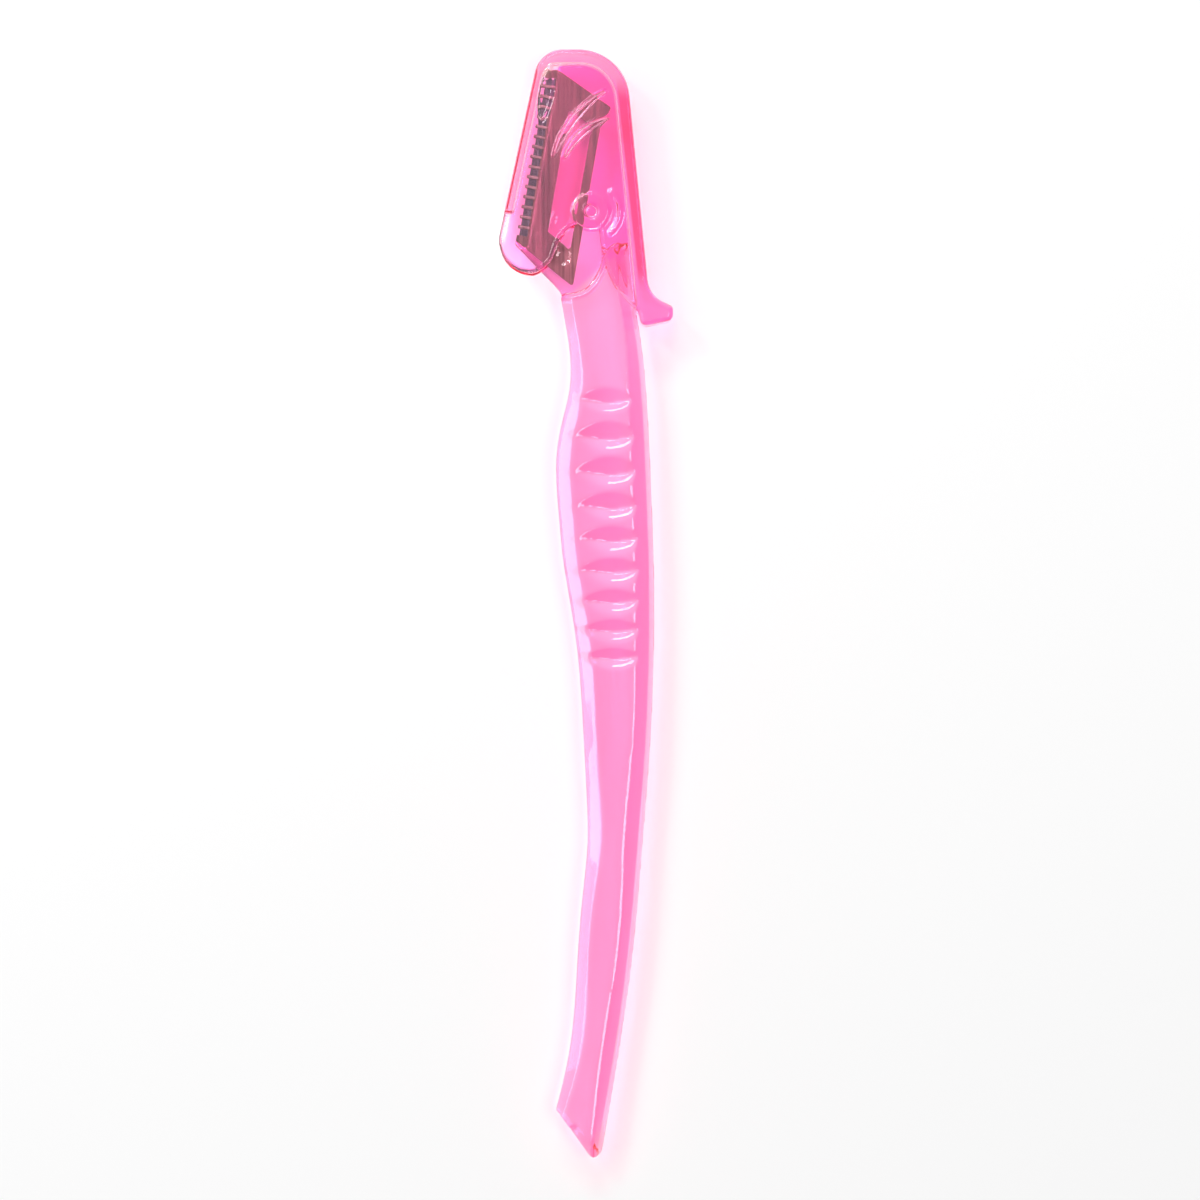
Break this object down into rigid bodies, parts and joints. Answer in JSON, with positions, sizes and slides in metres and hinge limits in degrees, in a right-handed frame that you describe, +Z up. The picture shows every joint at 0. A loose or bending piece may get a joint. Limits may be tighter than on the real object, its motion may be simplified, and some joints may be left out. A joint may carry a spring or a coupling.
{
  "type": "eyebrow razor",
  "caption": "Slim eyebrow razor in clear plastic with a slotted steel guard round the blade, a scalloped grip and a slide-off cap.",
  "frame": {"origin": "middle of the razor's outline on the table, with the cap on", "axes": "+Z up from the table, +Y from the tail to the capped head, +X away from the cutting edge"},
  "size_m": [0.0238, 0.152, 0.0072],
  "materials": {
    "clear_pink_plastic": "clear, polished",
    "guard_steel": "satin",
    "blade_steel": "ground"
  },
  "bodies": {
    "handle": {"handle": "clear_pink_plastic", "guard_plate": "guard_steel", "blade": "blade_steel"},
    "cap": {"cap": "clear_pink_plastic"}
  },
  "joints": [
    {"name": "cap_slide", "type": "slide", "parent": "handle", "child": "cap", "axis": [-0.0976, 0.9952, 0], "range_m": [0, 0.04]}
  ]
}
